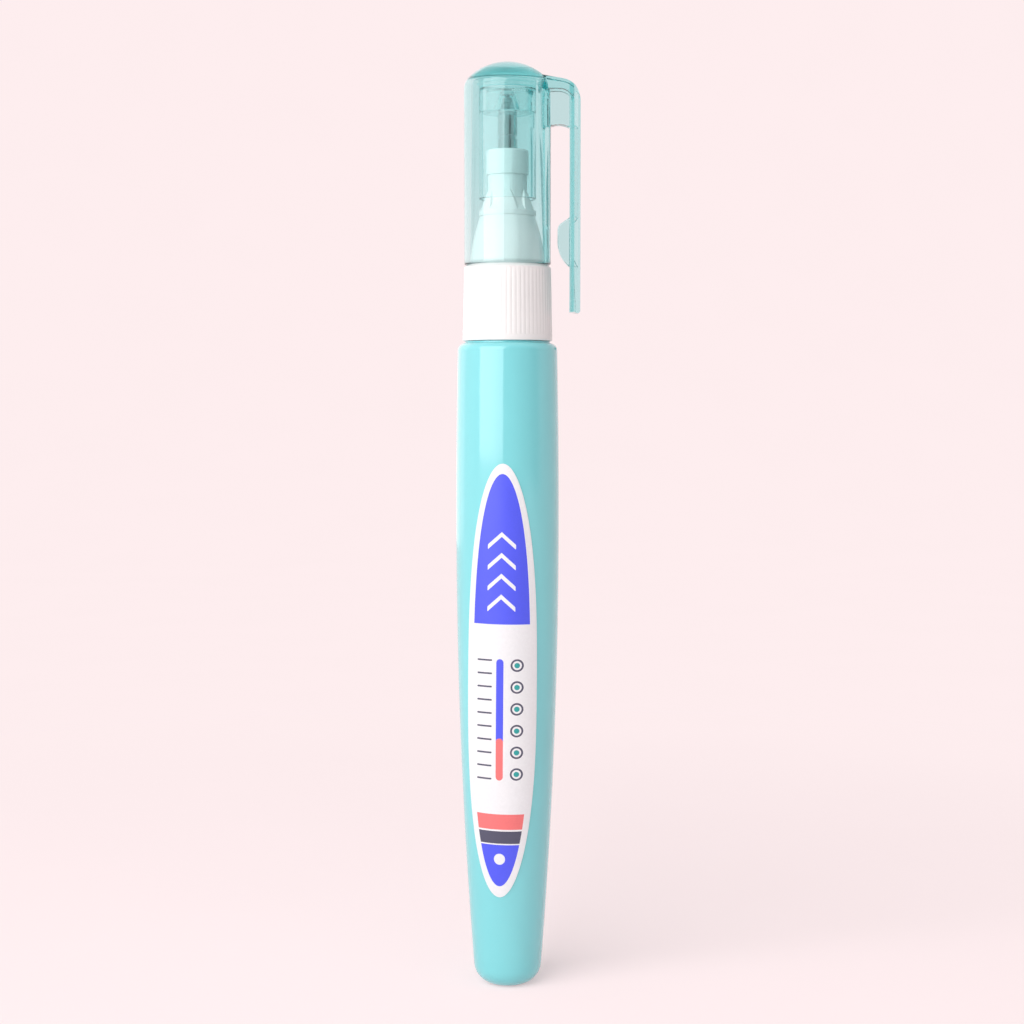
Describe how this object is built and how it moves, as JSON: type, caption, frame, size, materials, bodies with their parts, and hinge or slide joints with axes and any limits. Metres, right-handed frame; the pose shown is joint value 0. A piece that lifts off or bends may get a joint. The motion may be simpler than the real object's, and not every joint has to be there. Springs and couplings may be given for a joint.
{
  "type": "correction pen",
  "caption": "Slim correction pen with a teal squeeze barrel, white knurled nozzle, needle-valve metal tip and clear clip cap.",
  "frame": {"origin": "centre of the small flat on the barrel's closed end", "axes": "+Z along the pen from the barrel's end to the cap, +X towards the pocket clip"},
  "size_m": [0.0188, 0.0158, 0.1403],
  "materials": {
    "barrel_plastic": "glossy blown teal plastic",
    "label_print": "glossy printed film",
    "nozzle_plastic": "semi-gloss white plastic",
    "tip_metal": "bright nickel plate",
    "steel": "drawn steel wire",
    "valve_plastic": "natural white plastic",
    "gasket_rubber": "soft pale rubber",
    "seal_rubber": "soft milky rubber",
    "cap_plastic": "clear teal moulded plastic"
  },
  "bodies": {
    "barrel": {"barrel": "barrel_plastic", "label": "label_print"},
    "ball": {"agitator_ball": "steel"},
    "washer": {"neck_gasket": "gasket_rubber"},
    "nozzle": {"nozzle": "nozzle_plastic", "metal_tip": "tip_metal", "spring_retainer": "valve_plastic", "valve_spring": "steel"},
    "needle": {"valve_plunger": "valve_plastic", "valve_pin": "steel"},
    "cap": {"cap_shell": "cap_plastic", "cap_seal": "seal_rubber"},
    "clip": {"pocket_clip": "cap_plastic"}
  },
  "joints": [
    {"name": "ball_shake", "type": "slide", "parent": "barrel", "child": "ball", "axis": [0, 0, 1], "range_m": [0, 0.11]},
    {"name": "washer_lift", "type": "slide", "parent": "barrel", "child": "washer", "axis": [0, 0, 1], "range_m": [0, 0.004]},
    {"name": "nozzle_turn", "type": "hinge", "parent": "washer", "child": "nozzle", "pos_m": [0, 0, 0.104], "axis": [0, 0, 1], "range_deg": [0, 720]},
    {"name": "needle_press", "type": "slide", "parent": "nozzle", "child": "needle", "axis": [0, 0, -1], "range_m": [0, 0.0006], "stiffness_N_per_m": 150, "springref_m": -0.002, "deforming": ["valve_spring"]},
    {"name": "cap_pull", "type": "slide", "parent": "nozzle", "child": "cap", "axis": [0, 0, 1], "range_m": [0, 0.04]},
    {"name": "clip_flex", "type": "hinge", "parent": "cap", "child": "clip", "pos_m": [0.0051, 0, 0.1386], "axis": [0, -1, 0], "range_deg": [0, 4], "stiffness_Nm_per_rad": 0.5}
  ],
  "couplings": [
    {"joint": "washer_lift", "follows": "nozzle_turn", "m_per_rad": 0.00031831}
  ]
}
